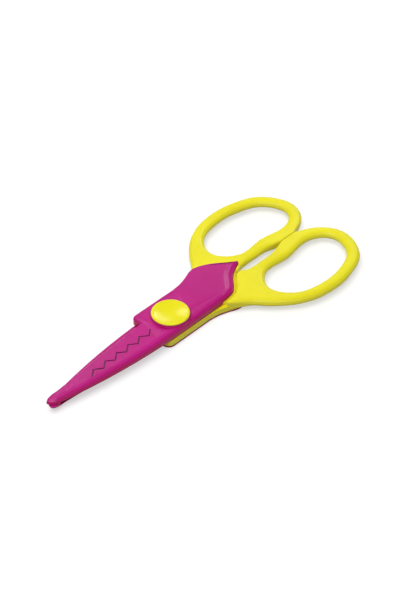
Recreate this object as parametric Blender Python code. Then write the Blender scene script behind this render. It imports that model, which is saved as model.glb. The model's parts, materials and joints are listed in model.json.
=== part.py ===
"""Decorative edge scissors, closed and lying flat.

Two halves turn on one pivot screw. Each half is a handle with a finger loop, a moulded blade cover
and a thin zigzag steel blade, held together by rivets. The lower half is the upper one turned over
about the length of the scissors, with a skirt on its plate and a rim on its narrower cover below it.
Lengths are in metres; +X runs from the pivot towards the finger loops and +Z is up. The origin lies
on the pivot axis, in the plane the scissors rest on.
"""

import math
from typing import NamedTuple

import bmesh
import bpy
from mathutils import Matrix, Vector
from mathutils.geometry import interpolate_bezier

# Layers of a half, measured outwards from the mid-plane between the halves
MATING_GAP = 0.0003
SEAT_GAP = 0.0003
LAYER = 0.0009
TIP_ROOF = 0.00075

# Outline of the cover
TIP_REACH = 0.0694
TIP_SIDE = 0.0024
NOSE_LENGTH = 0.0044
NOSE_SHIFT = 0.0008
SPINE = 0.0091
SPINE_POWER = 2.1
CUTTING_SIDE = 0.0055
NECK = 0.0023
NECK_LENGTH = 0.0068
STEP_REACH = 0.0127
STEP_RADIUS = 0.0024
BODY_SIDE = 0.0109
FLARE_X = 0.0285
FLARE_SIDE = 0.0146
WAIST = 0.0160
POINT_X = 0.0462
POINT_Y = 0.0032
POINT_ROUND = 0.0012
HEEL_X = 0.0246
HEEL = 0.0090

# Differences between the halves: the upper cover's wall, the lower plate's skirt and its cover's rim
PLATE_WALL = 0.0008
SKIRT_INSET = 0.0014
SKIRT_FRONT = 0.0019
SKIRT_CORNER = 0.0032
SKIRT_LAG = 0.0018
SKIRT_FLARE = 0.0014
PLATE_SKIRT = 0.0008
RIM_HEIGHT = 0.0005
RIM_SETBACK = 0.0001

# Edges of the cover: how far each leans in, and how far down it starts
COVER_EDGE = 0.0024
COVER_DROP = 0.0018
FAR_EDGE = 0.0011
CUTTING_EDGE = 0.0010
POINT_EDGE = 0.0005
NOSE_SLOPE = 0.0036
NOSE_DROP = 0.0018
SLOPE_WIDTH = 0.0043
SLOPE_DROP = 0.0019
SLOPE_POWER = 0.7

# Zigzag mark on the cover
MARK_PITCH = 0.0065
MARK_FROM_TIP = 0.0214
MARK_END = 0.0122
MARK_SIDE = 0.0015
MARK_SWING = 0.0013
MARK_WIDTH = 0.0005
MARK_DEPTH = 0.0002

# Handle
FLANGE = 0.0005
FLANGE_LEAN = 0.0005
FLANGE_START = 0.0230
ROOT_GAP = 0.0009
ROOT_LEAD = 0.0015
ROOT_FRONT = 0.0010
HANDLE_HEIGHT = 0.0040
HANDLE_ROUND = 0.0019
ROOT_ROUND = 0.0005
LOOP_BEFORE_POINT = 0.0022
LOOP_HALF_LENGTH = 0.0232
LOOP_HALF_WIDTH = 0.0122
RING_WIDTH = 0.0059
RING_ROUND_SHARE = 0.44
BAR_LIFT = 0.00075
STOP_GAP = 0.0003
STOP_BEHIND = 0.0038
STOP_LENGTH = 0.0090
STOP_LEAD = 0.0030
FLANK_REACH = 0.0162
SLOT_BEFORE_POINT = 0.0032
SLOT_SIDE = 0.0019
SLOT_LEAD = 0.0040

# Steel blade
BLADE_INSET = 0.0019
BLADE_FROM_TIP = 0.0048
TOOTH_PITCH = 0.0065
TOOTH_HEIGHT = 0.0022
TOOTH_BURY = 0.0015
TOOTH_HEEL = 0.0009
TANG_BEFORE_HEEL = 0.0046
TANG_SIDE = 0.0046
TANG_ROUND = 0.0030

# Rivets, placed from the step, the blade's tip, the heel and the flare
RIVET_RADIUS = 0.0010
RIVET_HEAD = 0.0016
RIVET_HEAD_HEIGHT = 0.0005
RIVET_BITE = 0.00055
RIVET_FROM_STEP = 0.0113
RIVET_FROM_TIP = 0.0180
RIVET_FROM_HEEL = (0.0016, 0.0055)
RIVET_FROM_FLARE = (0.0005, -0.0086)

# Pivot
SCREW_RADIUS = 0.0020
HEAD_RADIUS = 0.0038
HEAD_HEIGHT = 0.0011
HEAD_EDGE = 0.0003
DRIVE_WIDTH = 0.0010
DRIVE_DEPTH = 0.0005
WASHER_RIM = 0.0004
WASHER_HEIGHT = 0.0005
NUT_FLATS = 0.0070
NUT_HEIGHT = 0.0012
PIVOT_ROOM = 0.0005
SKIRT_WALL = 0.0006
CAP_RADIUS = 0.00825
CAP_HEIGHT = 0.00145
CAP_DISH = 0.0008
CAP_ROUND = 0.0005
CAP_WALL = 0.0006
BOSS_HEIGHT = 0.0007
BOSS_SLOPE = 0.0005
PLUG_ROOM = 0.00035
PLUG_WALL = 0.0006

# Fineness of the curves
CURVE_STEPS = 4
CORNER_STEPS = 5
ROUND_STEPS = 3
SPINE_STEPS = 9
DISH_STEPS = 6
TURN_STEPS = 40
RIVET_STEPS = 16
MITRE_LIMIT = 2.5
SHARP_ANGLE = 35

# Levels and places that follow from the sizes above
INNER = MATING_GAP / 2
LAYER_TOP = INNER + LAYER
COVER_SEAT = LAYER_TOP + SEAT_GAP
COVER_HEIGHT = COVER_SEAT + NUT_HEIGHT + PLUG_ROOM + PLUG_WALL
TIP_HEIGHT = COVER_SEAT + TIP_ROOF
STOP = STOP_GAP / 2
WASHER_RADIUS = HEAD_RADIUS + WASHER_RIM
NUT_RADIUS = NUT_FLATS / math.sqrt(3)
SKIRT_INSIDE = max(WASHER_RADIUS, NUT_RADIUS) + PIVOT_ROOM
SKIRT_RADIUS = SKIRT_INSIDE + SKIRT_WALL
WELL_RADIUS = SKIRT_RADIUS + SEAT_GAP
NOSE_X = -(TIP_REACH - NOSE_LENGTH)
NECK_X = -(TIP_REACH - NECK_LENGTH)
BLADE_TIP = -(TIP_REACH - BLADE_FROM_TIP)
TEETH_END = -(STEP_REACH + TOOTH_HEEL)
TANG_END = HEEL_X - TANG_BEFORE_HEEL
LOOP_X = POINT_X - LOOP_BEFORE_POINT + LOOP_HALF_LENGTH
LOOP_Y = STOP + BAR_LIFT + RING_WIDTH + LOOP_HALF_WIDTH
STOP_START = LOOP_X + STOP_BEHIND
STOP_END = STOP_START + STOP_LENGTH
SLOT_START = POINT_X - SLOT_BEFORE_POINT
SLOT_MOUTH = ROOT_GAP / 2
RING_ROUND = min(RING_ROUND_SHARE, 0.48) * RING_WIDTH
COVER_INSET = PLATE_SKIRT + SEAT_GAP
SKIRT_SIDE = BODY_SIDE - SKIRT_INSET
SKIRT_REACH = STEP_REACH - SKIRT_FRONT
SKIRT_END = FLARE_X + SKIRT_LAG
RIM_TOP = COVER_HEIGHT - RIM_SETBACK
SKIRT_DEPTH = RIM_TOP - RIM_HEIGHT - SEAT_GAP

# Length of the cutters past what they cut
BEYOND = 0.02


class Body(NamedTuple):
    """What differs between the halves, as distances from the pivot."""

    cover_flare: tuple
    cover_side: float
    cover_front: float
    plate_flare: tuple
    plate_side: float
    plate_front: float
    plate_corner: float
    skirt_depth: float
    boss_height: float


UPPER_BODY = Body(
    cover_flare=(FLARE_X, FLARE_SIDE),
    cover_side=BODY_SIDE,
    cover_front=STEP_REACH,
    plate_flare=(FLARE_X, FLARE_SIDE),
    plate_side=BODY_SIDE - PLATE_WALL,
    plate_front=STEP_REACH - PLATE_WALL,
    plate_corner=STEP_RADIUS,
    skirt_depth=0.0,
    boss_height=BOSS_HEIGHT,
)
LOWER_BODY = Body(
    cover_flare=(SKIRT_END, FLARE_SIDE - SKIRT_FLARE + FLANGE - COVER_INSET),
    cover_side=SKIRT_SIDE - COVER_INSET,
    cover_front=SKIRT_REACH - COVER_INSET,
    plate_flare=(SKIRT_END, FLARE_SIDE - SKIRT_FLARE),
    plate_side=SKIRT_SIDE,
    plate_front=SKIRT_REACH,
    plate_corner=SKIRT_CORNER,
    skirt_depth=SKIRT_DEPTH,
    boss_height=0.0,
)


# Outlines: lists of flat points, running anticlockwise


def smooth_line(points, closed=False):
    """A smooth curve through the points."""
    knots = [Vector(point).to_2d() for point in points]
    count = len(knots)
    tangents = []
    for i, knot in enumerate(knots):
        before = knots[i - 1] if closed or i > 0 else knot
        after = knots[(i + 1) % count] if closed or i < count - 1 else knot
        tangents.append((after - before).normalized())
    line = []
    for i in range(count if closed else count - 1):
        j = (i + 1) % count
        reach = (knots[j] - knots[i]).length / 3
        run = interpolate_bezier(
            knots[i],
            knots[i] + tangents[i] * reach,
            knots[j] - tangents[j] * reach,
            knots[j],
            CURVE_STEPS + 1,
        )
        line += [tuple(point) for point in run[:-1]]
    return line if closed else line + [tuple(knots[-1])]


def arc(centre, radius, start, end, steps):
    """Points on an arc between two angles in degrees, both ends included."""
    angles = [math.radians(start + (end - start) * i / steps) for i in range(steps + 1)]
    return [(centre[0] + radius * math.cos(a), centre[1] + radius * math.sin(a)) for a in angles]


def circle(radius, steps=TURN_STEPS):
    return arc((0, 0), radius, 0, 360, steps)[:-1]


def between(start, end, shares):
    """The start, the points at the given shares of the way along X and along Y, and the end."""
    inner = []
    for u, v in shares:
        inner.append((start[0] + (end[0] - start[0]) * u, start[1] + (end[1] - start[1]) * v))
    return [start] + inner + [end]


def outward(outline):
    """The outward direction at each point, lengthened at corners so that an offset keeps its width."""
    count = len(outline)
    directions = []
    for i in range(count):
        here = Vector(outline[i])
        along = (here - Vector(outline[i - 1])).normalized()
        onward = (Vector(outline[(i + 1) % count]) - here).normalized()
        first = Vector((along.y, -along.x))
        second = Vector((onward.y, -onward.x))
        middle = (first + second).normalized()
        directions.append(middle / max(middle.dot(first), 1 / MITRE_LIMIT))
    return directions


def offset(outline, distance):
    """The closed outline moved outwards by a distance."""
    moved = []
    for (x, y), direction in zip(outline, outward(outline)):
        moved.append((x + direction.x * distance, y + direction.y * distance))
    return moved


def offset_run(line, distance):
    """An open line moved to its right-hand side by a distance."""
    moved = []
    for i, point in enumerate(line):
        before = Vector(line[max(i - 1, 0)])
        after = Vector(line[min(i + 1, len(line) - 1)])
        along = (after - before).normalized()
        moved.append((point[0] + along.y * distance, point[1] - along.x * distance))
    return moved


def spine_side(x):
    """Distance of the cover's spine from the X axis."""
    share = min(max(x / NOSE_X, 0.0), 1.0)
    return SPINE - (SPINE - TIP_SIDE) * share**SPINE_POWER


def cutting_side(x):
    """Distance of the cover's cutting side from the X axis, between the neck and the step."""
    share = (x - NECK_X) / (-STEP_REACH - NECK_X)
    return NECK + (CUTTING_SIDE - NECK) * share


def spine_line(start):
    """The spine's points from a place near the tip up to the pivot."""
    places = [start * (1 - i / SPINE_STEPS) for i in range(SPINE_STEPS + 1)]
    return [(x, -spine_side(x)) for x in places]


def cover_end():
    """The handle end of the cover, from the heel on its spine to the far point."""
    shares = ((0.24, 0.07), (0.39, 0.24), (0.62, 0.65), (0.84, 0.89))
    return smooth_line(between((HEEL_X, -HEEL), (POINT_X, POINT_Y), shares))


def far_side(flare, side):
    """The far side of the pivot body, from the point past the flare to the body's straight."""
    back_shares = ((0.23, 0.30), (0.51, 0.66), (0.80, 0.91))
    back = smooth_line(between((POINT_X, POINT_Y), flare, back_shares))
    waist_shares = ((0.19, 0.14), (0.38, 0.45), (0.69, 0.84))
    waist = smooth_line(between(flare, (flare[0] - WAIST, side), waist_shares))
    return back + waist[1:]


def front_corner(front, side, radius):
    """The rounded corner between the far side of the pivot body and its front."""
    return arc((-front + radius, side - radius), radius, 90, 180, CORNER_STEPS)


def nose_rows():
    """The blunt nose as (point, lean, edge drop), from the cutting side to the spine."""
    rows = []
    for across, along in arc((0, 0), 1, 0, 180, 2 * CORNER_STEPS):
        point = (NOSE_X - NOSE_LENGTH * along, TIP_SIDE * across + NOSE_SHIFT * along**2)
        width, drop = (CUTTING_EDGE, CUTTING_EDGE) if across > 0 else (COVER_EDGE, COVER_DROP)
        lean = Vector((NOSE_SLOPE * along, -width * across))
        rows.append((point, lean, drop + (NOSE_DROP - drop) * along))
    return rows


def end_rows():
    """The sloping handle end as (point, edge width, edge drop), up to the rounded far point."""
    end = cover_end()
    rows = []
    for i, point in enumerate(end):
        share = i / (len(end) - 1)
        width = COVER_EDGE + (POINT_EDGE - COVER_EDGE) * share
        drop = COVER_DROP + (POINT_EDGE - COVER_DROP) * share
        slope = math.sin(math.pi * share) ** SLOPE_POWER
        rows.append((point, width + (SLOPE_WIDTH - width) * slope, drop + (SLOPE_DROP - drop) * slope))
    return [row for row in rows if math.dist(row[0], end[-1]) > POINT_ROUND]


def cover_rows(body):
    """The cover's outline as (point, lean, edge drop), from the tip along the spine."""
    point = (POINT_X, POINT_Y)
    nose = nose_rows()
    edges = [(knot, COVER_EDGE, COVER_DROP) for knot in spine_line(NOSE_X)[1:]]
    edges += end_rows()
    far = far_side(body.cover_flare, body.cover_side)
    far = [knot for knot in far if math.dist(knot, point) > POINT_ROUND]
    corner = interpolate_bezier(edges[-1][0], point, point, far[0], CORNER_STEPS)
    edges += [(tuple(knot), POINT_EDGE, POINT_EDGE) for knot in corner[1:-1]]
    edges += [(far[0], POINT_EDGE, POINT_EDGE)]
    edges += [(knot, FAR_EDGE, FAR_EDGE) for knot in far[1:]]
    front = front_corner(body.cover_front, body.cover_side, STEP_RADIUS)
    front += [(-body.cover_front, CUTTING_SIDE), (NECK_X, NECK)]
    edges += [(knot, CUTTING_EDGE, CUTTING_EDGE) for knot in front]
    inwards = [-direction for direction in outward([row[0] for row in nose + edges])]
    rows = list(nose)
    for (knot, width, drop), inward in zip(edges, inwards[len(nose) :]):
        rows.append((knot, inward * width, drop))
    return rows


def plate_far_side(body):
    """The far side of the handle's flat plate, from the point to the front."""
    far = offset_run(far_side(body.plate_flare, body.plate_side - FLANGE), FLANGE)
    return far + front_corner(body.plate_front, body.plate_side, body.plate_corner)


def plate_outline(body, flange):
    """The handle's flat plate, with a flange round the cover's end, from the front to the point."""
    start = [(-body.plate_front, 0.0), (FLANGE_START, 0.0), (FLANGE_START, -SPINE)]
    return start + offset_run(cover_end(), flange) + plate_far_side(body)


def skirt_outline(body):
    """The part of the plate that has a skirt: the far half of it, up to the flare."""
    far = [knot for knot in plate_far_side(body) if knot[0] < SKIRT_END]
    return [(-body.plate_front, 0.0), (SKIRT_END, 0.0), (SKIRT_END, far[0][1])] + far


def loop_hole():
    """The finger hole, fuller at the back, with a hump on the bar next to the other loop."""
    shares = (
        (-1.00, -0.12),
        (-0.86, -0.64),
        (-0.57, -0.93),
        (-0.05, -0.86),
        (0.55, -1.00),
        (0.90, -0.71),
        (1.00, -0.16),
        (0.78, 0.57),
        (0.38, 0.89),
        (-0.05, 1.00),
        (-0.57, 0.85),
        (-0.86, 0.48),
    )
    knots = [(LOOP_X + u * LOOP_HALF_LENGTH, LOOP_Y + v * LOOP_HALF_WIDTH) for u, v in shares]
    return smooth_line(knots, closed=True)


def root_face():
    """The handle root's face along the other half's plate, from its front to the slot."""
    face = [(x, -y) for x, y in offset_run(cover_end(), FLANGE + ROOT_GAP)]
    front = (face[0][0] - ROOT_LEAD, face[0][1])
    return [front] + [(x, y) for x, y in face if y > SLOT_MOUTH]


def slot_side():
    """The side of the narrow slot between the two loops' bars."""
    middle = (SLOT_START + STOP_START) / 2
    return smooth_line(
        [
            (SLOT_START, SLOT_MOUTH),
            (SLOT_START + SLOT_LEAD, SLOT_SIDE),
            (middle, SLOT_SIDE),
            (STOP_START - 2 * SLOT_LEAD, SLOT_SIDE),
            (STOP_START, STOP),
        ]
    )


def handle_outline():
    """The full-height loop and root as (point, rounding width), from the slot round the loop."""
    ring = offset(loop_hole(), RING_WIDTH)
    face = root_face()
    front = (face[0][0], face[0][1] + ROOT_FRONT)
    first = next(i for i, (x, _) in enumerate(ring) if x > STOP_END + STOP_LEAD)
    last = max(i for i, (x, y) in enumerate(ring) if y > LOOP_Y and x > LOOP_X - FLANK_REACH)
    flank_shares = ((0.215, 0.128), (0.394, 0.292), (0.573, 0.509), (0.717, 0.726))
    flank = smooth_line(between(ring[last], front, flank_shares))[1:]
    slot = slot_side()
    rows = []
    for i, point in enumerate(slot):
        swell = math.sin(math.pi * i / (len(slot) - 1))
        rows.append((point, ROOT_ROUND + (RING_ROUND - ROOT_ROUND) * swell))
    rows.append(((STOP_END, STOP), ROOT_ROUND))
    for i, point in enumerate(ring[first : last + 1], 1):
        rows.append((point, ROOT_ROUND + (RING_ROUND - ROOT_ROUND) * min(i / CURVE_STEPS, 1.0)))
    for i, point in enumerate(flank, 1):
        fade = max(0.0, 1 - (len(flank) - i) / CURVE_STEPS)
        rows.append((point, RING_ROUND + (ROOT_ROUND - RING_ROUND) * fade))
    rows += [(point, ROOT_ROUND) for point in face]
    return rows


def blade_back():
    """The blade's smooth back inside the cover, and its round-ended tang."""
    low = BLADE_INSET - SPINE
    round_x = TANG_END - TANG_ROUND
    back = [(x, y + BLADE_INSET) for x, y in spine_line(BLADE_TIP)]
    back += arc((round_x, low + TANG_ROUND), TANG_ROUND, -90, 0, CORNER_STEPS)
    back += arc((round_x, TANG_SIDE - TANG_ROUND), TANG_ROUND, 0, 90, CORNER_STEPS)
    return back


def blade_outline():
    """The steel blade: back, tang and zigzag cutting edge."""
    teeth = int((TEETH_END - BLADE_TIP) / TOOTH_PITCH)
    edge = [(TEETH_END, TANG_SIDE)]
    for i in range(2 * teeth):
        x = TEETH_END - TOOTH_PITCH * (i + 0.5) / 2
        rise = TOOTH_HEIGHT if i % 2 == 0 else 0.0
        edge.append((x, cutting_side(x) - TOOTH_BURY + rise))
    edge.append((BLADE_TIP, cutting_side(BLADE_TIP) - TOOTH_BURY))
    return blade_back() + edge


def blade_space():
    """The room for the blade in the cover, open along the whole cutting side."""
    clear = TOOTH_HEIGHT + BODY_SIDE
    edge = [(TEETH_END, TANG_SIDE), (TEETH_END, clear), (BLADE_TIP, clear)]
    return offset(blade_back() + edge, SEAT_GAP)


def blade_rivets():
    """Places of a blade's two rivets, midway between its back and its teeth."""
    places = []
    for x in (-STEP_REACH - RIVET_FROM_STEP, BLADE_TIP + RIVET_FROM_TIP):
        low = BLADE_INSET - spine_side(x)
        high = cutting_side(x) - TOOTH_BURY
        places.append((x, (low + high) / 2))
    return places


def handle_rivets():
    """Places of the two rivets between a handle's plate and its cover."""
    heel = (HEEL_X + RIVET_FROM_HEEL[0], RIVET_FROM_HEEL[1] - HEEL)
    flare = (FLARE_X + RIVET_FROM_FLARE[0], FLARE_SIDE + RIVET_FROM_FLARE[1])
    return [heel, flare]


# Mesh building


def new_object(name, bm):
    """An object made from a finished bmesh, with its faces pointing out."""
    bmesh.ops.recalc_face_normals(bm, faces=bm.faces)
    mesh = bpy.data.meshes.new(name)
    bm.to_mesh(mesh)
    bm.free()
    obj = bpy.data.objects.new(name, mesh)
    bpy.context.scene.collection.objects.link(obj)
    return obj


def loft(bm, rings):
    """Rows of faces between rings of points that have the same count; returns the rings' vertices."""
    rows = [[bm.verts.new(point) for point in ring] for ring in rings]
    count = len(rows[0])
    for low, high in zip(rows, rows[1:]):
        for i in range(count):
            j = (i + 1) % count
            bm.faces.new((low[i], low[j], high[j], high[i]))
    return rows


def prism(name, outline, low, high):
    """A straight-sided solid over a flat outline."""
    bm = bmesh.new()
    rows = loft(bm, [[(x, y, z) for x, y in outline] for z in (low, high)])
    bm.faces.new(rows[0])
    bm.faces.new(rows[-1])
    return new_object(name, bm)


def turned(name, profile, steps=TURN_STEPS):
    """A round solid about the Z axis from (radius, height) points, first and last on the axis."""
    rings = [[(x, y, height) for x, y in circle(radius, steps)] for radius, height in profile[1:-1]]
    bm = bmesh.new()
    rows = loft(bm, rings)
    for row, (_, height) in ((rows[0], profile[0]), (rows[-1], profile[-1])):
        hub = bm.verts.new((0, 0, height))
        for i in range(steps):
            bm.faces.new((row[i - 1], row[i], hub))
    return new_object(name, bm)


def ring_solid(name, inner, outer, low, high):
    """A flat ring about the Z axis."""
    bm = bmesh.new()
    corners = ((inner, low), (outer, low), (outer, high), (inner, high))
    rows = loft(bm, [[(x, y, height) for x, y in circle(radius)] for radius, height in corners])
    for i in range(TURN_STEPS):
        bm.faces.new((rows[-1][i - 1], rows[-1][i], rows[0][i], rows[0][i - 1]))
    return new_object(name, bm)


def combine(target, other, operation):
    """Cuts or joins one object with another, keeps the result and removes the other."""
    modifier = target.modifiers.new(operation.lower(), "BOOLEAN")
    modifier.object = other
    modifier.operation = operation
    modifier.solver = "EXACT"
    graph = bpy.context.evaluated_depsgraph_get()
    result = bpy.data.meshes.new_from_object(target.evaluated_get(graph))
    target.modifiers.remove(modifier)
    before = target.data
    target.data = result
    bpy.data.meshes.remove(before)
    spent = other.data
    bpy.data.objects.remove(other)
    bpy.data.meshes.remove(spent)


def cut(target, *cutters):
    for cutter in cutters:
        combine(target, cutter, "DIFFERENCE")


def rivet_hole(place):
    """The cutter for a countersunk rivet's hole."""
    shank = RIVET_RADIUS + SEAT_GAP
    head = RIVET_HEAD + SEAT_GAP
    end = COVER_SEAT + RIVET_BITE + SEAT_GAP
    neck = INNER + RIVET_HEAD_HEIGHT + SEAT_GAP
    rim = INNER + SEAT_GAP
    profile = [(0, end), (shank, end), (shank, neck), (head, rim), (head, -BEYOND), (0, -BEYOND)]
    hole = turned("rivet_hole", profile, RIVET_STEPS)
    hole.data.transform(Matrix.Translation((*place, 0)))
    return hole


# Pieces of one half, built above the mid-plane


def cover_height(x):
    """Height of the cover's outer face, which tapers from the step to the tip."""
    share = min(max((-x - STEP_REACH) / (TIP_REACH - STEP_REACH), 0.0), 1.0)
    return COVER_HEIGHT + (TIP_HEIGHT - COVER_HEIGHT) * share


def cover_body(body):
    """The cover before its cuts: upright sides, edges that lean in, and the outer face."""
    rows = cover_rows(body)
    rings = [[(*point, INNER) for point, _, _ in rows]]
    for step in range(ROUND_STEPS + 1):
        turn = math.pi / 2 * step / ROUND_STEPS
        ring = []
        for (x, y), lean, drop in rows:
            px = x + lean.x * (1 - math.cos(turn))
            py = y + lean.y * (1 - math.cos(turn))
            ring.append((px, py, cover_height(px) - drop * (1 - math.sin(turn))))
        rings.append(ring)
    bm = bmesh.new()
    verts = loft(bm, rings)
    bm.faces.new(verts[0])
    bm.faces.new(verts[-1])
    return new_object("cover", bm)


def zigzag_groove():
    """The cutter for the zigzag mark: a ribbon that follows the tapered outer face."""
    run = MARK_PITCH / 2
    start = MARK_FROM_TIP - TIP_REACH
    turns = int((-MARK_END - start) / run)
    half_width = MARK_WIDTH / 2 * math.hypot(run, 2 * MARK_SWING) / run
    middle = []
    for i in range(turns + 1):
        swing = MARK_SWING if i % 2 else -MARK_SWING
        middle.append((start + run * i, swing - MARK_SIDE))
    near = [(x, y - half_width) for x, y in middle]
    far = [(x, y + half_width) for x, y in reversed(middle)]
    bm = bmesh.new()
    lifts = (-MARK_DEPTH, BEYOND)
    verts = loft(bm, [[(x, y, cover_height(x) + lift) for x, y in near + far] for lift in lifts])
    for ring in (verts[0], verts[-1]):
        for i in range(turns):
            bm.faces.new((ring[i], ring[i + 1], ring[-2 - i], ring[-1 - i]))
    return new_object("zigzag_groove", bm)


def pivot_boss(height):
    """The low boss on a cover's outer face that carries the pivot cap."""
    top = COVER_HEIGHT + height
    foot = CAP_RADIUS + BOSS_SLOPE
    profile = [(0, top), (CAP_RADIUS, top), (foot, COVER_HEIGHT), (foot, COVER_SEAT), (0, COVER_SEAT)]
    return turned("boss", profile)


def make_cover(body):
    """The moulded blade cover, hollowed for the blade and the handle's plate."""
    cover = cover_body(body)
    if body.boss_height:
        combine(cover, pivot_boss(body.boss_height), "UNION")
    if body.skirt_depth:
        low = body.skirt_depth + SEAT_GAP
        combine(cover, prism("rim", skirt_outline(body), low, RIM_TOP), "UNION")
    plate = plate_outline(body, FLANGE + FLANGE_LEAN)
    cut(
        cover,
        prism("plate_space", offset(plate, SEAT_GAP), -BEYOND, COVER_SEAT),
        prism("blade_space", blade_space(), -BEYOND, COVER_SEAT),
        prism("well", circle(WELL_RADIUS), -BEYOND, BEYOND),
        zigzag_groove(),
    )
    for place in blade_rivets() + handle_rivets():
        cut(cover, rivet_hole(place))
    return cover


def rounded_rings(rows):
    """Rings of points up the side of the loop and root, leaning in at the bottom and at the top.

    A narrow rounding is low in the same share, so that the root and the stop keep crisp edges.
    """
    half = HANDLE_HEIGHT / 2
    inwards = [-direction for direction in outward([point for point, _ in rows])]
    levels = [(-1, step) for step in range(ROUND_STEPS, -1, -1)]
    levels += [(1, step) for step in range(ROUND_STEPS + 1)]
    rings = []
    for side, step in levels:
        turn = math.pi / 2 * step / ROUND_STEPS
        ring = []
        for ((x, y), width), inward in zip(rows, inwards):
            lean = width * (1 - math.cos(turn))
            drop = HANDLE_ROUND * width / RING_ROUND * (1 - math.sin(turn))
            ring.append((x + inward.x * lean, y + inward.y * lean, side * (half - drop)))
        rings.append(ring)
    return rings


def loop_and_root():
    """The finger loop and its root at full height, with rounded edges and the finger hole."""
    hole = [(point, RING_ROUND) for point in reversed(loop_hole())]
    bm = bmesh.new()
    rims = []
    for rows in (handle_outline(), hole):
        verts = loft(bm, rounded_rings(rows))
        rims.append((verts[0], verts[-1]))
    for ends in zip(*rims):
        edges = []
        for ring in ends:
            edges += [bm.edges.get((ring[i - 1], ring[i])) for i in range(len(ring))]
        bmesh.ops.triangle_fill(bm, edges=edges, use_beauty=True)
    return new_object("handle", bm)


def make_plate(body):
    """The flat plate that the cover sits on; its flange leans out towards the mid-plane."""
    bm = bmesh.new()
    rings = []
    for flange, z in ((FLANGE + FLANGE_LEAN, INNER), (FLANGE, LAYER_TOP)):
        rings.append([(x, y, z) for x, y in plate_outline(body, flange)])
    rows = loft(bm, rings)
    bm.faces.new(rows[0])
    bm.faces.new(rows[-1])
    return new_object("plate", bm)


def make_handle(body):
    """The handle: loop, root, any skirt and the flat plate that the cover sits on."""
    handle = loop_and_root()
    if body.skirt_depth:
        skirt = prism("skirt", skirt_outline(body), INNER + LAYER / 2, body.skirt_depth)
        combine(handle, skirt, "UNION")
    cover_line = [point for point, _, _ in cover_rows(body)]
    cut(handle, prism("cover_space", offset(cover_line, SEAT_GAP), LAYER_TOP, BEYOND))
    combine(handle, make_plate(body), "UNION")
    cut(handle, prism("tang_space", offset(blade_outline(), SEAT_GAP), -BEYOND, BEYOND))
    for place in handle_rivets():
        cut(handle, rivet_hole(place))
    return handle


def make_blade():
    """The steel blade with its pivot and rivet holes."""
    blade = prism("blade", blade_outline(), INNER, LAYER_TOP)
    cut(blade, prism("bore", circle(SCREW_RADIUS + SEAT_GAP), -BEYOND, BEYOND))
    for place in blade_rivets():
        cut(blade, rivet_hole(place))
    return blade


def make_rivet():
    """A rivet, countersunk into the blade or the plate and standing in the cover."""
    end = COVER_SEAT + RIVET_BITE
    neck = INNER + RIVET_HEAD_HEIGHT
    profile = [(0, end), (RIVET_RADIUS, end), (RIVET_RADIUS, neck), (RIVET_HEAD, INNER), (0, INNER)]
    return turned("rivet", profile, RIVET_STEPS)


# Pieces of the pivot, built where they sit above or below the mid-plane


def make_washer():
    """The washer under the screw's head, on the upper blade."""
    high = COVER_SEAT + WASHER_HEIGHT
    return ring_solid("washer", SCREW_RADIUS + SEAT_GAP, WASHER_RADIUS, COVER_SEAT, high)


def screw_top():
    """Height of the screw's head above the mid-plane."""
    return COVER_SEAT + WASHER_HEIGHT + SEAT_GAP + HEAD_HEIGHT


def make_screw():
    """The pivot screw: a flat slotted head on the washer and a plain shank down into the nut."""
    top = screw_top()
    low = top - HEAD_HEIGHT
    end = -(COVER_SEAT + NUT_HEIGHT)
    profile = [(0, top), (HEAD_RADIUS - HEAD_EDGE, top), (HEAD_RADIUS, top - HEAD_EDGE)]
    profile += [(HEAD_RADIUS, low), (SCREW_RADIUS, low), (SCREW_RADIUS, end), (0, end)]
    screw = turned("screw", profile)
    half = DRIVE_WIDTH / 2
    slot = [(-BEYOND, -half), (BEYOND, -half), (BEYOND, half), (-BEYOND, half)]
    cut(screw, prism("drive_slot", slot, top - DRIVE_DEPTH, BEYOND))
    return screw


def make_nut():
    """The hexagon nut under the lower blade."""
    nut = prism("nut", circle(NUT_RADIUS, 6), -(COVER_SEAT + NUT_HEIGHT), -COVER_SEAT)
    cut(nut, prism("bore", circle(SCREW_RADIUS + SEAT_GAP), -BEYOND, BEYOND))
    return nut


def make_cap():
    """The round pivot cap: a dished disc on the upper cover's boss, with a skirt in its well."""
    ceiling = screw_top() + SEAT_GAP
    top = max(COVER_HEIGHT + CAP_HEIGHT, ceiling + CAP_WALL + CAP_DISH)
    under = COVER_HEIGHT + BOSS_HEIGHT + SEAT_GAP
    foot = COVER_SEAT + SEAT_GAP
    flat = CAP_RADIUS - CAP_ROUND
    dish = flat - CAP_ROUND
    profile = []
    for step in range(DISH_STEPS + 1):
        share = step / DISH_STEPS
        profile.append((dish * share, top - CAP_DISH * (1 - share**2)))
    profile += arc((flat, top - CAP_ROUND), CAP_ROUND, 90, 0, CORNER_STEPS)
    profile += [(CAP_RADIUS, under), (SKIRT_RADIUS, under), (SKIRT_RADIUS, foot)]
    profile += [(SKIRT_INSIDE, foot), (SKIRT_INSIDE, ceiling), (0, ceiling)]
    return turned("cap", profile)


def make_plug():
    """The flush plug that closes the lower cover's well round the nut."""
    rim = -(COVER_SEAT + SEAT_GAP)
    floor = PLUG_WALL - COVER_HEIGHT
    profile = [(0, floor), (SKIRT_INSIDE, floor), (SKIRT_INSIDE, rim), (SKIRT_RADIUS, rim)]
    profile += [(SKIRT_RADIUS, -COVER_HEIGHT), (0, -COVER_HEIGHT)]
    return turned("plug", profile)


# Materials and assembly


def material(name, colour, roughness, metallic=0.0):
    made = bpy.data.materials.new(name)
    made.use_nodes = True
    shader = made.node_tree.nodes["Principled BSDF"]
    shader.inputs["Base Color"].default_value = (*colour, 1.0)
    shader.inputs["Roughness"].default_value = roughness
    shader.inputs["Metallic"].default_value = metallic
    return made


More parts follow.
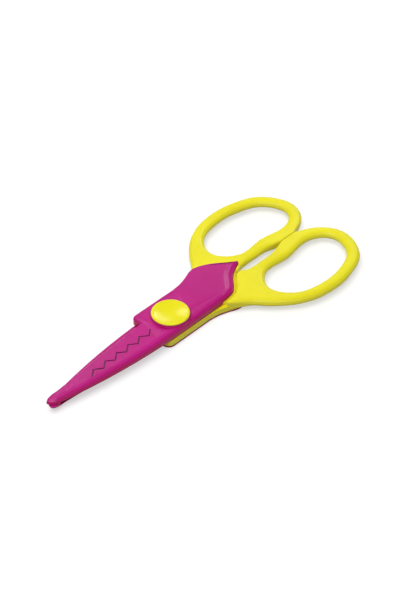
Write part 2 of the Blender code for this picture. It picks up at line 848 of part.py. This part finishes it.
def pivot_frame(name, turned_over):
    """An empty on the pivot axis in the mid-plane, turned over about X for the lower half."""
    frame = bpy.data.objects.new(name, None)
    frame.location = (0, 0, COVER_HEIGHT)
    frame.rotation_euler = (math.pi if turned_over else 0.0, 0, 0)
    bpy.context.scene.collection.objects.link(frame)
    return frame


def finished_mesh(obj, surface):
    """Takes an object's mesh, gives it its material and shading, and removes the object."""
    mesh = obj.data
    bpy.data.objects.remove(obj)
    mesh.materials.clear()
    mesh.materials.append(surface)
    mesh.shade_smooth()
    mesh.set_sharp_from_angle(angle=math.radians(SHARP_ANGLE))
    return mesh


def place(name, mesh, frame, at=(0, 0)):
    piece = bpy.data.objects.new(name, mesh)
    piece.parent = frame
    piece.location = (*at, 0)
    bpy.context.scene.collection.objects.link(piece)


def clear_scene():
    for obj in list(bpy.data.objects):
        bpy.data.objects.remove(obj)


def main():
    clear_scene()
    yellow = material("yellow_plastic", (0.87, 0.79, 0.03), 0.35)
    magenta = material("magenta_plastic", (0.58, 0.02, 0.26), 0.35)
    steel = material("steel", (0.62, 0.62, 0.64), 0.3, 1.0)
    upper = pivot_frame("upper_half", False)
    lower = pivot_frame("lower_half", True)
    pivot = pivot_frame("pivot", False)

    blade = finished_mesh(make_blade(), steel)
    rivet = finished_mesh(make_rivet(), steel)
    for half, frame, body in (("upper", upper, UPPER_BODY), ("lower", lower, LOWER_BODY)):
        place(f"{half}_handle", finished_mesh(make_handle(body), yellow), frame)
        place(f"{half}_cover", finished_mesh(make_cover(body), magenta), frame)
        place(f"{half}_blade", blade, frame)
        for number, spot in enumerate(blade_rivets(), 1):
            place(f"{half}_blade_rivet_{number}", rivet, frame, spot)
        for number, spot in enumerate(handle_rivets(), 1):
            place(f"{half}_handle_rivet_{number}", rivet, frame, spot)

    place("pivot_screw", finished_mesh(make_screw(), steel), pivot)
    place("pivot_washer", finished_mesh(make_washer(), steel), pivot)
    place("pivot_nut", finished_mesh(make_nut(), steel), pivot)
    place("pivot_plug", finished_mesh(make_plug(), yellow), pivot)
    place("pivot_cap", finished_mesh(make_cap(), yellow), upper)


main()
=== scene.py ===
"""Looks of the decorative edge scissors: procedural materials, camera, floor and soft light."""

import json
import math

import bpy
from mathutils import Matrix, Vector

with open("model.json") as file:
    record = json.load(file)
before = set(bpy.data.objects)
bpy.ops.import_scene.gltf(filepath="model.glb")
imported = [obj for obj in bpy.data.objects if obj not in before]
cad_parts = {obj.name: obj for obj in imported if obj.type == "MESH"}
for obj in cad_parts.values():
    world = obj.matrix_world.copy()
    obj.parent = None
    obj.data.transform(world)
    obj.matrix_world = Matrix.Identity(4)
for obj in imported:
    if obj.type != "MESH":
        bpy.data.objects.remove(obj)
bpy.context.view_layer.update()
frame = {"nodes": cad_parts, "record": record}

# Height of the plane between the two halves, in metres
MID_PLANE = 0.0035

# Zigzag mark on the covers: how many straight runs it has, and sizes in metres
MARK_RUN_COUNT = 11
MARK_RUN = 0.00325
MARK_START = -0.0480
MARK_SIDE = 0.0015
MARK_SWING = 0.0013
MARK_HALF_WIDTH = 0.00040
MARK_BLUR = 0.00015
MARK_LEVEL = 0.0016

# Camera, fitted to the photograph, and the pivot's place in its view, in metres and radians
CAMERA_TURN = math.radians(46.74)
CAMERA_RISE = math.radians(40.74)
CAMERA_DISTANCE = 0.6314
PIVOT_RIGHT = -0.01260
PIVOT_UP = -0.00849
FIELD_OF_VIEW = math.radians(22.66)

# Colours as linear values
YELLOW = (0.89, 0.825, 0.012)
YELLOW_DEEP = (0.84, 0.755, 0.009)
# Painted shade: a warmer yellow given to upright walls, standing in for how they look in shade
YELLOW_WALL_SHADE = (0.93, 0.86, 0.050)
MAGENTA = (0.53, 0.010, 0.230)
MAGENTA_DEEP = (0.48, 0.007, 0.200)
# Painted shade: a redder magenta given to upright walls, standing in for how they look in shade
MAGENTA_WALL_SHADE = (0.54, 0.006, 0.130)
INK = (0.10, 0.006, 0.060)
STEEL = (0.66, 0.66, 0.68)
STEEL_DARK = (0.46, 0.46, 0.48)
FLOOR = (0.50, 0.50, 0.50)
FLOOR_DARK = (0.495, 0.495, 0.495)
WHITE = (1, 1, 1, 1)

# Noise patterns: cycles per metre and levels of detail
YELLOW_CLOUDS = (55, 3)
MAGENTA_CLOUDS = (60, 3)
SPECKS = (1800, 4)
PATCHES = (240, 3)
WAVES = (160, 2)
GRAIN = (5200, 3)
INK_WEAR = (2600, 3)
STREAKS = (300, 5)
STREAK_STRETCH = (0.2, 14, 14)
FLOOR_TONE = (3, 2)

# Part of the range of a noise, or of an upright normal, that is spread over a look
CLOUD_SPAN = (0.35, 0.65)
SPECK_SPAN = (0.45, 0.75)
PATCH_SPAN = (0.3, 0.7)
COVER_PATCH_SPAN = (0.25, 0.75)
INK_WEAR_SPAN = (0.3, 0.6)
STREAK_SPAN = (0.35, 0.7)
# Tilt of the normal over which the painted wall shade fades in
WALL_SHADE_SPAN = (0.3, 0.97)

# Share of a second colour, from its least to its most
FULL = (0.0, 1.0)
YELLOW_SPECK_SHARE = (0.0, 0.22)
MAGENTA_SPECK_SHARE = (0.0, 0.25)
INK_SHARE = (0.80, 1.0)

# Roughness, from the smoothest spots to the roughest, and level of shine
HANDLE_ROUGHNESS = (0.34, 0.44)
HANDLE_SHINE = 0.20
CAP_ROUGHNESS = (0.17, 0.23)
CAP_SHINE = 0.32
COVER_ROUGHNESS = (0.285, 0.310)
COVER_SHINE = 0.26
STEEL_ROUGHNESS = (0.24, 0.38)
FLOOR_ROUGHNESS = 0.9
FLOOR_SHINE = 0.1

# Depth of relief, in metres
WAVE_DEPTH = 0.00001
GRAIN_DEPTH = 0.0000025
STREAK_DEPTH = 0.000004

# Floor, which lies just under the object, in metres
FLOOR_HALF = 4.0
FLOOR_DROP = 0.0002

# Lamps: name, place and side length in metres, power in watts
LAMPS = (
    ("overhead", (-0.18, 0.00, 0.75), 0.75, 5.80),
    ("right_box", (0.690, 0.300, 0.490), 0.22, 0.66),
    ("left_box", (0.320, 0.605, 0.585), 0.20, 0.65),
    ("low_box", (0.664, 0.443, 0.416), 0.26, 0.50),
)

# Strength of the world's light, and of the floor's glow where a camera, gloss or glass sees it
WORLD_STRENGTH = 0.17
FLOOR_GLOW = 0.56

# Colour sockets of Blender's mix node, which share their names with sockets of other kinds
MIX_INPUTS = (6, 7)
MIX_OUTPUT = 2


# Shader building


class Shader:
    """A material's node tree, with short calls for the nodes used here."""

    def __init__(self, name):
        self.material = bpy.data.materials.new(name)
        self.material.use_nodes = True
        self.nodes = self.material.node_tree.nodes
        self.links = self.material.node_tree.links
        self.surface = self.nodes["Principled BSDF"]
        self.place = self.add("ShaderNodeTexCoord").outputs["Object"]

    def add(self, kind, **settings):
        """Adds a node with the given settings."""
        node = self.nodes.new(kind)
        for key, value in settings.items():
            setattr(node, key, value)
        return node

    def feed(self, socket, value):
        """Links a socket to another, or sets its value."""
        if isinstance(value, bpy.types.NodeSocket):
            self.links.new(value, socket)
        else:
            socket.default_value = value

    def math(self, operation, *values):
        """Result of a sum on numbers or sockets."""
        node = self.add("ShaderNodeMath", operation=operation)
        for socket, value in zip(node.inputs, values):
            self.feed(socket, value)
        return node.outputs["Value"]

    def noise(self, scale, detail, stretch=(1, 1, 1)):
        """Noise in the object's frame; scale is in cycles per metre along an unstretched axis."""
        mapping = self.add("ShaderNodeMapping")
        self.feed(mapping.inputs["Vector"], self.place)
        mapping.inputs["Scale"].default_value = stretch
        node = self.add("ShaderNodeTexNoise")
        self.feed(node.inputs["Vector"], mapping.outputs["Vector"])
        node.inputs["Scale"].default_value = scale
        node.inputs["Detail"].default_value = detail
        return node.outputs["Fac"]

    def wall_shade_share(self):
        """Share of painted wall shade: 0 on faces that look straight up or down, rising to 1 on
        upright walls.
        """
        split = self.add("ShaderNodeSeparateXYZ")
        self.feed(split.inputs["Vector"], self.add("ShaderNodeNewGeometry").outputs["Normal"])
        return self.spread(self.math("ABSOLUTE", split.outputs["Z"]), WALL_SHADE_SPAN, FULL[::-1])

    def spread(self, value, span, result):
        """Maps a value from one range to another, and holds it at the ends."""
        node = self.add("ShaderNodeMapRange")
        self.feed(node.inputs["Value"], value)
        node.inputs["From Min"].default_value = span[0]
        node.inputs["From Max"].default_value = span[1]
        node.inputs["To Min"].default_value = result[0]
        node.inputs["To Max"].default_value = result[1]
        return node.outputs["Result"]

    def mix(self, share, first, second):
        """A colour between two colours."""
        node = self.add("ShaderNodeMix", data_type="RGBA")
        self.feed(node.inputs["Factor"], share)
        for index, colour in zip(MIX_INPUTS, (first, second)):
            self.feed(node.inputs[index], (*colour, 1.0) if isinstance(colour, tuple) else colour)
        return node.outputs[MIX_OUTPUT]

    def bump(self, height, depth, before=None):
        """Surface relief of a height between 0 and 1 times a depth in metres."""
        node = self.add("ShaderNodeBump")
        node.inputs["Strength"].default_value = 1.0
        node.inputs["Distance"].default_value = depth
        self.feed(node.inputs["Height"], height)
        if before:
            self.feed(node.inputs["Normal"], before)
        return node.outputs["Normal"]

    def finish(self, colour, roughness, normal, **values):
        """Feeds the surface and sets its uniform values, then gives the material."""
        self.feed(self.surface.inputs["Base Color"], colour)
        self.feed(self.surface.inputs["Roughness"], roughness)
        self.feed(self.surface.inputs["Normal"], normal)
        for name, value in values.items():
            self.surface.inputs[name.replace("_", " ")].default_value = value
        return self.material


def plastic_relief(shader):
    """Shallow flow waves and the fine grain of a moulded surface."""
    waves = shader.bump(shader.noise(*WAVES), WAVE_DEPTH)
    return shader.bump(shader.noise(*GRAIN), GRAIN_DEPTH, waves)


def plastic_colour(shader, main, deep, side, cloud_noise, speck_share):
    """Main colour with clouds and specks of a deeper one, and a painted shade tint on the walls.
    """
    clouds = shader.spread(shader.noise(*cloud_noise), CLOUD_SPAN, FULL)
    specks = shader.spread(shader.noise(*SPECKS), SPECK_SPAN, speck_share)
    colour = shader.mix(clouds, main, deep)
    colour = shader.mix(specks, colour, deep)
    # Painted shade: upright walls take the shaded tint according to the tilt of their normal
    return shader.mix(shader.wall_shade_share(), colour, side)


def yellow_plastic(name, roughness_range, shine):
    """Moulded yellow plastic with a roughness between two values and a level of shine."""
    shader = Shader(name)
    colour = plastic_colour(
        shader, YELLOW, YELLOW_DEEP, YELLOW_WALL_SHADE, YELLOW_CLOUDS, YELLOW_SPECK_SHARE
    )
    roughness = shader.spread(shader.noise(*PATCHES), PATCH_SPAN, roughness_range)
    return shader.finish(colour, roughness, plastic_relief(shader), Specular_IOR_Level=shine)


def zigzag_ink(shader):
    """Share of ink at a point: 1 on the zigzag line of either cover's outer face."""
    split = shader.add("ShaderNodeSeparateXYZ")
    shader.feed(split.inputs["Vector"], shader.place)
    x = split.outputs["X"]
    level = shader.math("SUBTRACT", split.outputs["Z"], MID_PLANE)
    side = shader.math("MULTIPLY", split.outputs["Y"], shader.math("SIGN", level))
    along = shader.math("DIVIDE", shader.math("SUBTRACT", x, MARK_START), MARK_RUN)
    swing = shader.math("PINGPONG", along, 1.0)
    line = shader.math("MULTIPLY_ADD", swing, 2 * MARK_SWING, -MARK_SIDE - MARK_SWING)
    apart = shader.math("ABSOLUTE", shader.math("SUBTRACT", side, line))
    edge = (MARK_HALF_WIDTH - MARK_BLUR, MARK_HALF_WIDTH + MARK_BLUR)
    ink = shader.spread(apart, edge, FULL[::-1])
    from_middle = shader.math("ABSOLUTE", shader.math("SUBTRACT", along, MARK_RUN_COUNT / 2))
    within = shader.math("LESS_THAN", from_middle, MARK_RUN_COUNT / 2)
    outer = shader.math("GREATER_THAN", shader.math("ABSOLUTE", level), MARK_LEVEL)
    return shader.math("MULTIPLY", shader.math("MULTIPLY", ink, within), outer)


def magenta_plastic():
    """Moulded magenta plastic with the slightly worn ink of the zigzag mark."""
    shader = Shader("magenta_plastic_look")
    colour = plastic_colour(
        shader, MAGENTA, MAGENTA_DEEP, MAGENTA_WALL_SHADE, MAGENTA_CLOUDS, MAGENTA_SPECK_SHARE
    )
    wear = shader.spread(shader.noise(*INK_WEAR), INK_WEAR_SPAN, INK_SHARE)
    ink = shader.math("MULTIPLY", zigzag_ink(shader), wear)
    colour = shader.mix(ink, colour, INK)
    roughness = shader.spread(shader.noise(*PATCHES), COVER_PATCH_SPAN, COVER_ROUGHNESS)
    return shader.finish(colour, roughness, plastic_relief(shader), Specular_IOR_Level=COVER_SHINE)


def brushed_steel():
    """Steel with streaks along the length of the scissors."""
    shader = Shader("steel_look")
    streaks = shader.noise(*STREAKS, STREAK_STRETCH)
    colour = shader.mix(shader.spread(streaks, STREAK_SPAN, FULL), STEEL, STEEL_DARK)
    roughness = shader.spread(streaks, PATCH_SPAN, STEEL_ROUGHNESS)
    return shader.finish(colour, roughness, shader.bump(streaks, STREAK_DEPTH), Metallic=1.0)


def dress_nodes():
    """Gives each CAD node the look of its material slot, and the cap a more polished one."""
    looks = {
        "yellow_plastic": yellow_plastic("yellow_plastic_look", HANDLE_ROUGHNESS, HANDLE_SHINE),
        "magenta_plastic": magenta_plastic(),
        "steel": brushed_steel(),
    }
    for part in frame["record"]["subparts"]:
        mesh = frame["nodes"][part["node"]].data
        mesh.materials.clear()
        mesh.materials.append(looks[part["material_slot"]])
    cap = frame["nodes"]["pivot_cap"].data
    cap.materials[0] = yellow_plastic("polished_yellow_look", CAP_ROUGHNESS, CAP_SHINE)


# Stage


def make_camera():
    """Camera at the photograph's viewing angle."""
    right = Vector((math.cos(CAMERA_TURN), -math.sin(CAMERA_TURN), 0))
    level = Vector((math.sin(CAMERA_TURN), math.cos(CAMERA_TURN), 0))
    view = level * math.cos(CAMERA_RISE) - Vector((0, 0, math.sin(CAMERA_RISE)))
    up = right.cross(view)
    pivot = Vector((0, 0, MID_PLANE))
    place = pivot - right * PIVOT_RIGHT - up * PIVOT_UP - view * CAMERA_DISTANCE
    data = bpy.data.cameras.new("camera")
    data.sensor_fit = "VERTICAL"
    data.angle = FIELD_OF_VIEW
    camera = bpy.data.objects.new("camera", data)
    turn = Matrix((right, up, -view)).transposed().to_4x4()
    camera.matrix_world = Matrix.Translation(place) @ turn
    bpy.context.scene.collection.objects.link(camera)
    bpy.context.scene.camera = camera


def floor_look():
    """Pale floor that the camera, gloss and glass see as white, and that keeps the shadow."""
    shader = Shader("floor_look")
    inputs = shader.surface.inputs
    tone = shader.spread(shader.noise(*FLOOR_TONE), PATCH_SPAN, FULL)
    shader.feed(inputs["Base Color"], shader.mix(tone, FLOOR, FLOOR_DARK))
    rays = shader.add("ShaderNodeLightPath").outputs
    seen = shader.math("MAXIMUM", rays["Is Camera Ray"], rays["Is Glossy Ray"])
    seen = shader.math("MAXIMUM", seen, rays["Is Transmission Ray"])
    inputs["Emission Color"].default_value = WHITE
    shader.feed(inputs["Emission Strength"], shader.math("MULTIPLY", seen, FLOOR_GLOW))
    inputs["Roughness"].default_value = FLOOR_ROUGHNESS
    inputs["Specular IOR Level"].default_value = FLOOR_SHINE
    return shader.material


def make_floor():
    """A wide square floor, just under the object."""
    corners = [
        (-FLOOR_HALF, -FLOOR_HALF, 0),
        (FLOOR_HALF, -FLOOR_HALF, 0),
        (FLOOR_HALF, FLOOR_HALF, 0),
        (-FLOOR_HALF, FLOOR_HALF, 0),
    ]
    mesh = bpy.data.meshes.new("floor")
    mesh.from_pydata(corners, [], [(0, 1, 2, 3)])
    mesh.materials.append(floor_look())
    floor = bpy.data.objects.new("floor", mesh)
    floor.location.z = -FLOOR_DROP
    bpy.context.scene.collection.objects.link(floor)


def area_light(name, place, size, power):
    """A soft square light that points at the foot of the pivot."""
    data = bpy.data.lights.new(name, "AREA")
    data.size = size
    data.energy = power
    light = bpy.data.objects.new(name, data)
    light.location = place
    light.rotation_euler = (-Vector(place)).to_track_quat("-Z", "Y").to_euler()
    bpy.context.scene.collection.objects.link(light)


def make_light():
    """A white world and the lamps."""
    world = bpy.data.worlds.new("studio")
    world.use_nodes = True
    background = world.node_tree.nodes["Background"].inputs
    background["Color"].default_value = WHITE
    background["Strength"].default_value = WORLD_STRENGTH
    bpy.context.scene.world = world
    for lamp in LAMPS:
        area_light(*lamp)


dress_nodes()
make_camera()
make_floor()
make_light()
bpy.context.scene.view_settings.view_transform = "Standard"
